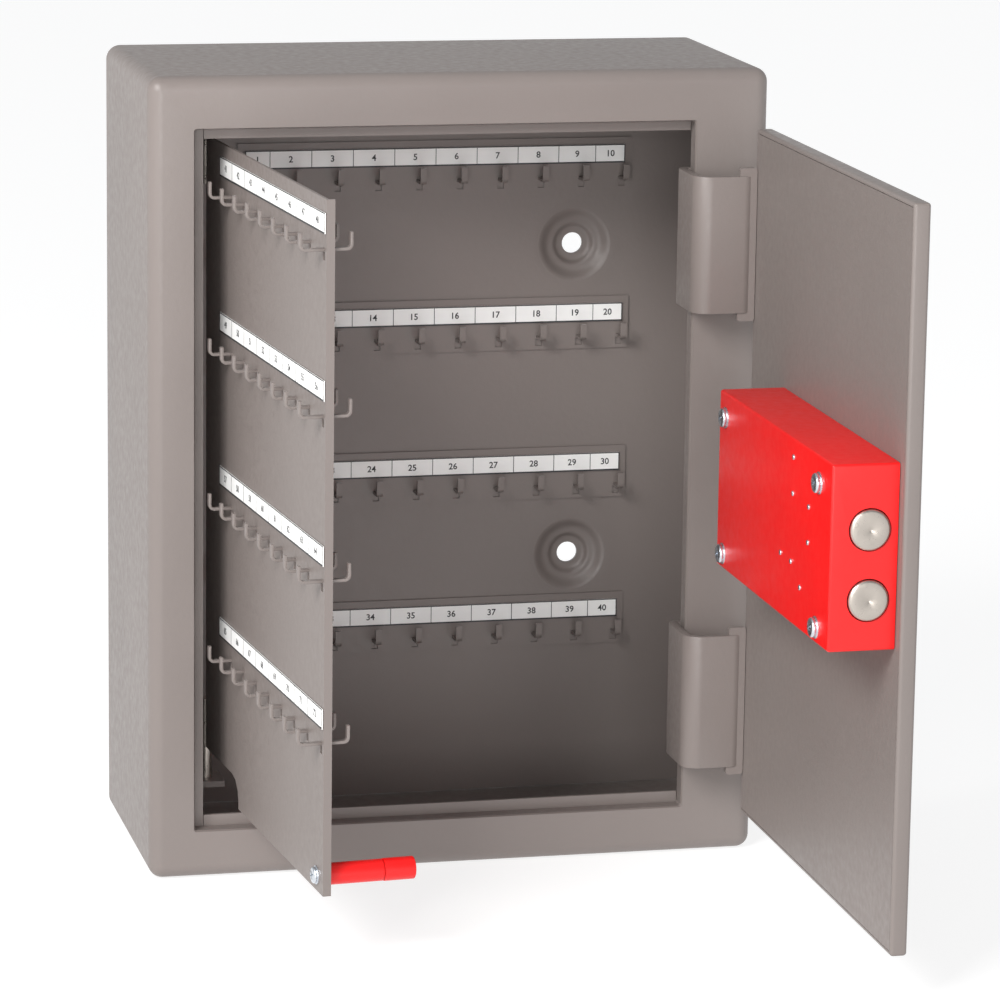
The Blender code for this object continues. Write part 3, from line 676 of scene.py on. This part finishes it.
def lock_cover():
    """The red cover, a folded box open to the door, with its two bolt holes."""
    past = Vector((2 * PAST, 0, 0))
    cover = box("lock_cover", CASE_LOW, CASE_HIGH + past, COVER_EDGE, "XYZ", 4)
    trim = box("trim", (CASE_HIGH.x, CASE_LOW.y - PAST, CASE_LOW.z - PAST),
               (CASE_HIGH.x + 4 * PAST, CASE_HIGH.y + PAST, CASE_HIGH.z + PAST))
    hollow = box("hollow", CASE_LOW + Vector((COVER_SHEET,) * 3),
                 (CASE_HIGH.x + 3 * PAST, CASE_HIGH.y - COVER_SHEET, CASE_HIGH.z - COVER_SHEET))
    boolean(cover, "DIFFERENCE", trim, hollow)
    for tag in ("lower", "upper"):
        low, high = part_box("bolt_" + tag)
        middle = (low + high) / 2
        radius = (high.z - low.z) / 2 + BOLT_CLEARANCE
        hole = rod("hole_" + tag, radius, -2 * PAST, 2 * PAST,
                   (middle.x, CASE_LOW.y, middle.z), (0, 1, 0), 64)
        boolean(cover, "DIFFERENCE", hole)
    piece(applied(cover), "door", RED, "red_paint", "lock_case")


DOOR_EDGE = 1.6 * MM
KEYHOLE_RADIUS = 6.5 * MM


def door_pan():
    """The folded door with smoothly rounded edges, and its keyhole."""
    pan = box("door_pan", DOOR_LOW, DOOR_HIGH, DOOR_EDGE, "XYZ", 5)
    hollow = box("hollow", (DOOR_LOW.x - PAST, DOOR_LOW.y + SHEET, DOOR_LOW.z + SHEET),
                 (DOOR_HIGH.x - SHEET, DOOR_HIGH.y - SHEET, DOOR_HIGH.z - SHEET))
    low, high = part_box("keyhole_escutcheon")
    middle = (low + high) / 2
    keyhole = rod("keyhole", KEYHOLE_RADIUS, -3 * PAST, 3 * PAST,
                  (DOOR_HIGH.x, middle.y, middle.z), (1, 0, 0), 40)
    boolean(pan, "DIFFERENCE", hollow, keyhole)
    piece(applied(pan), "door", TAUPE, "taupe_paint", "door_skin")


# ---------------------------------------------------------------- number strips
DIGIT_HEIGHT = 4.6 * MM
LINE = 0.35 * MM
# The dark rim round each card is painted shadow of the gap round it. Its lower side is drawn wider, as painted
# shadow under the card.
SHADOW_RIM = 1.4 * LINE
LOWER_SHADOW_RIM = 2.2 * LINE
INK_HEIGHT = 0.06 * MM
INK_SPREAD = 0.018

FIRST_CELL = 12.9 * MM
CELL_PITCH = 21.7 * MM
LAST_DIVIDER = 184.5 * MM
LEAF_CELL = 23.34 * MM
CELLS_IN_BACK_ROW = 10
FIRST_FRONT_NUMBER = 41
FIRST_REAR_NUMBER = 73


def number(text, size):
    """A number lying in the XZ plane, seen from -Y, with its middle at the origin."""
    curve = bpy.data.curves.new("number", "FONT")
    curve.body = text
    curve.size = size
    curve.align_x = "CENTER"
    curve.align_y = "CENTER"
    curve.extrude = INK_HEIGHT / 2
    curve.offset = size * INK_SPREAD
    curve.resolution_u = 3
    made = linked("number", evaluated_mesh(linked("number", curve)))
    made.data.transform(Matrix.Rotation(math.radians(90), 4, "X"))
    return made


def print_with_shadow_rim(name, node, place, side, numbers, dividers, body):
    """The ink on one strip: a dark rim round the card that is painted shadow, wider along the lower edge for the
    painted shadow under the card, the lines between cells, and the numbers.
    Dividers are places along the strip, from its left end as read."""
    low, high = local_box(node, place)
    face = low.y if side < 0 else high.y
    length = high.x - low.x
    middle_z = (low.z + high.z) / 2
    half = (high.z - low.z) / 2
    thick = INK_HEIGHT / 2
    items = []
    # The four sides of the rim are painted shadow round the card, and the lower side is the widest.
    for low_z, high_z in ((-half, -half + LOWER_SHADOW_RIM), (half - SHADOW_RIM, half)):
        items.append(box("line", (0, -thick, low_z), (length, thick, high_z)))
    for end in (0.0, length - SHADOW_RIM):
        items.append(box("line", (end, -thick, -half), (end + SHADOW_RIM, thick, half)))
    for x in dividers:
        items.append(box("line", (x - LINE / 2, -thick, -half + LINE),
                         (x + LINE / 2, thick, half - LINE)))
    ends = [0.0] + list(dividers) + [length]
    for text, left, right in zip(numbers, ends, ends[1:]):
        digit = number(text, DIGIT_HEIGHT)
        digit.location = ((left + right) / 2, 0, 0)
        items.append(digit)
    bpy.context.view_layer.update()
    start = Vector((low.x if side < 0 else high.x, face + side * INK_HEIGHT / 2, middle_z))
    turn = Matrix.Rotation(0.0 if side < 0 else math.pi, 4, "Z")
    strip = merged(name, items)
    strip.data.transform(place @ Matrix.Translation(start) @ turn)
    piece(strip, body, INK_AND_SHADOW, "label_card")


def numbers_from(first, count):
    return [str(first + k) for k in range(count)]


def number_strips():
    """The print and the painted shadow rims on the rows of the back, and on both faces of the leaf."""
    back_cells = [FIRST_CELL + CELL_PITCH * k for k in range(8)] + [LAST_DIVIDER]
    leaf_cells = [LEAF_CELL * k for k in range(1, HOOKS_IN_ROW)]
    for row in range(ROWS):
        print_with_shadow_rim("print_and_shadow_back_%d" % (row + 1), "back_label_%d" % (row + 1), WORLD_PLACE, -1,
                    numbers_from(1 + CELLS_IN_BACK_ROW * row, CELLS_IN_BACK_ROW),
                    back_cells, "cabinet")
        for face, side, start in (("front", -1, FIRST_FRONT_NUMBER),
                                  ("rear", 1, FIRST_REAR_NUMBER)):
            print_with_shadow_rim("print_and_shadow_leaf_%s_%d" % (face, row + 1),
                        "leaf_%s_label_%d" % (face, row + 1), LEAF_PLACE, side,
                        numbers_from(start + HOOKS_IN_ROW * row, HOOKS_IN_ROW),
                        leaf_cells, "leaf")


# ---------------------------------------------------------------- welds
WELD_REACH = (("upper", 17.5 * MM), ("lower", 15.0 * MM))
WELD_LIFT = 3.0 * MM
WELD_RADIUS = 1.9 * MM
WELD_POINTS = 40
WELD_INSET = 1.3 * MM
WELD_WANDER = 0.3 * MM
WELD_DEPTH = 2.2 * MM


def welds():
    """A short bead in the groove between each neck and the door, rippled and with
    tapered ends."""
    for tag, reach in WELD_REACH:
        low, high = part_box("hinge_neck_" + tag)
        middle = (low.z + high.z) / 2 + WELD_LIFT
        path = bpy.data.curves.new("weld_" + tag, "CURVE")
        path.dimensions = "3D"
        path.bevel_depth = WELD_RADIUS
        path.bevel_resolution = 3
        path.use_fill_caps = True
        line = path.splines.new("POLY")
        line.points.add(WELD_POINTS)
        for i, spot in enumerate(line.points):
            along = -1.0 + 2.0 * i / WELD_POINTS
            ripple = 0.16 * math.sin(i * 1.9) + 0.05 * math.sin(i * 0.7)
            taper = min(1.0, 3.0 * (1.0 - abs(along)) + 0.45)
            spot.co = (high.x - WELD_INSET + WELD_WANDER * math.sin(i * 0.9),
                       low.y + WELD_DEPTH, middle + along * reach, 1.0)
            spot.radius = (1.0 + ripple) * taper
        bead = linked("weld_bead_" + tag, evaluated_mesh(linked("weld_" + tag, path)))
        piece(bead, "door", WELD, "taupe_paint", angle=60)


# ---------------------------------------------------------------- lock
SHANK_RADIUS = 1.9 * MM
SHANK_LENGTH = 6.0 * MM
CROWN_ROUND = 1.2 * MM
CROWN_DROP = 1.3 * MM
WASHER_EDGE = 0.4 * MM
WASHER_EASE = 0.2 * MM
SLOT_HALF_WIDTH = 0.45 * MM
SLOT_DEPTH = 1.3 * MM
SLOT_TURN = 25

CASE_SCREW = (4.6 * MM, 3.0 * MM)
STAND_OFF_SCREW = (4.0 * MM, 2.4 * MM)
SCREW_GAP = 0.05 * MM

RIVET_RADIUS = 1.25 * MM
RIVET_ROUND = 0.4 * MM
RIVET_SINK = 0.2 * MM
RIVET_FLANK = 0.25 * MM
RIVET_HEIGHT = 0.7 * MM
# (distance from the hinge side, height over the case's lower edge) in millimetres.
RIVET_PLACES = [(124, 78), (124, 61), (149, 60), (149, 43.5), (107, 29.5), (123.5, 29),
                (138.5, 20)]


def screw_head(name, radius, height, place, axis, body, *replaced):
    """A pan head on its washer, with a cross recess. The axis points out of the head."""
    washer = radius * 1.12
    profile = [(0.0, -SHANK_LENGTH), (SHANK_RADIUS, -SHANK_LENGTH), (SHANK_RADIUS, 0.0),
               (washer, 0.0)]
    profile += corner(washer - WASHER_EASE, WASHER_EDGE, WASHER_EASE, 0, 90, 3)
    profile += [(radius * 0.97, 0.6 * MM), (radius, 0.9 * MM)]
    profile += corner(radius - CROWN_ROUND, height - CROWN_DROP, CROWN_ROUND, 8, 78, 6)
    profile += [(radius * 0.35, height), (0.0, height + 0.05 * MM)]
    head = turned(name, profile, (0, 0, 0), (0, 0, 1), 36)
    for turn in (0, 90):
        slot = box("slot", (-radius * 0.52, -SLOT_HALF_WIDTH, height - SLOT_DEPTH),
                   (radius * 0.52, SLOT_HALF_WIDTH, height + 1.0 * MM))
        slot.rotation_euler = (0, 0, math.radians(turn + SLOT_TURN))
        boolean(head, "DIFFERENCE", slot)
    head = applied(head)
    head.data.transform(Matrix.Translation(Vector(place)) @ facing(axis))
    return piece(head, body, ZINC, "zinc_plate", *replaced)


def lock_screws():
    """The four screws that hold the cover."""
    for i in range(4):
        node = "lock_screw_%d" % (i + 1)
        low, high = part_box(node)
        middle = (low + high) / 2
        place = (CASE_LOW.x - SCREW_GAP, middle.y, middle.z)
        screw_head("case_screw_%d" % (i + 1), *CASE_SCREW, place, (-1, 0, 0), "door", node)


def lock_rivets():
    """Seven small rivet heads on the case, over the lever pack."""
    profile = [(0.0, -RIVET_SINK), (RIVET_RADIUS, -RIVET_SINK), (RIVET_RADIUS, RIVET_FLANK)]
    profile += corner(RIVET_RADIUS - RIVET_ROUND, RIVET_FLANK, RIVET_ROUND, 0, 90, 3)
    profile += [(0.0, RIVET_HEIGHT)]
    for i, (back, up) in enumerate(RIVET_PLACES):
        place = (CASE_LOW.x, CASE_HIGH.y - back * MM, CASE_LOW.z + up * MM)
        head = turned("case_rivet_%d" % (i + 1), profile, place, (-1, 0, 0), 20)
        piece(head, "door", ZINC, "zinc_plate")


def bolts():
    """Round bolts with a chamfered, faced end, set a little proud of the case."""
    for tag in ("lower", "upper"):
        low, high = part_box("bolt_" + tag)
        middle = (low + high) / 2
        radius = (high.z - low.z) / 2
        length = high.y - low.y
        profile = [(0.0, 0.0), (radius, 0.0), (radius, length - 1.0 * MM),
                   (radius - 0.25 * MM, length - 0.55 * MM),
                   (radius - 0.9 * MM, length - 0.1 * MM),
                   (radius - 1.2 * MM, length), (1.1 * MM, length),
                   (0.6 * MM, length - 0.3 * MM), (0.0, length - 0.4 * MM)]
        bolt = turned("lock_bolt_" + tag, profile, (middle.x, high.y, middle.z), (0, -1, 0), 64)
        piece(bolt, "bolts", STEEL, "satin_steel", "bolt_" + tag)


# ---------------------------------------------------------------- leaf's stand-off
SLEEVE_EASE = 0.25 * MM
TIP_EASE = 0.7 * MM
LEAF_FACE = 0.80 * MM


def stand_off():
    """The red stand-off: two sleeves with eased ends, and the screw from the front."""
    for name, node, ease in (("stand_off_sleeve", "leaf_grip", SLEEVE_EASE),
                             ("stand_off_tip", "leaf_grip_tip", TIP_EASE)):
        low, high = local_box(node, LEAF_PLACE)
        radius = (high.z - low.z) / 2
        length = high.y - low.y
        profile = [(0.0, 0.0), (radius - SLEEVE_EASE, 0.0), (radius, SLEEVE_EASE)]
        profile += corner(radius - ease, length - ease, ease, 0, 90, 5)
        profile += [(2.0 * MM, length), (1.6 * MM, length - 0.6 * MM), (0.0, length - 0.7 * MM)]
        sleeve = turned(name, profile, ((low.x + high.x) / 2, low.y, (low.z + high.z) / 2),
                        (0, 1, 0), 48)
        sleeve.data.transform(LEAF_PLACE)
        piece(sleeve, "leaf", RED, "red_paint", node)
    low, high = local_box("leaf_grip_screw", LEAF_PLACE)
    face = LEAF_PLACE @ Vector(((low.x + high.x) / 2, -LEAF_FACE, (low.z + high.z) / 2))
    out = LEAF_PLACE.to_3x3() @ Vector((0, -1, 0))
    screw_head("stand_off_screw", *STAND_OFF_SCREW, face, out, "leaf", "leaf_grip_screw")


make_camera()
make_stage()
finish_cad_nodes()
body_shell()
pressed_dishes()
door_pan()
leaf_hooks()
swan_necks()
number_strips()
welds()
lock_cover()
lock_screws()
lock_rivets()
bolts()
stand_off()
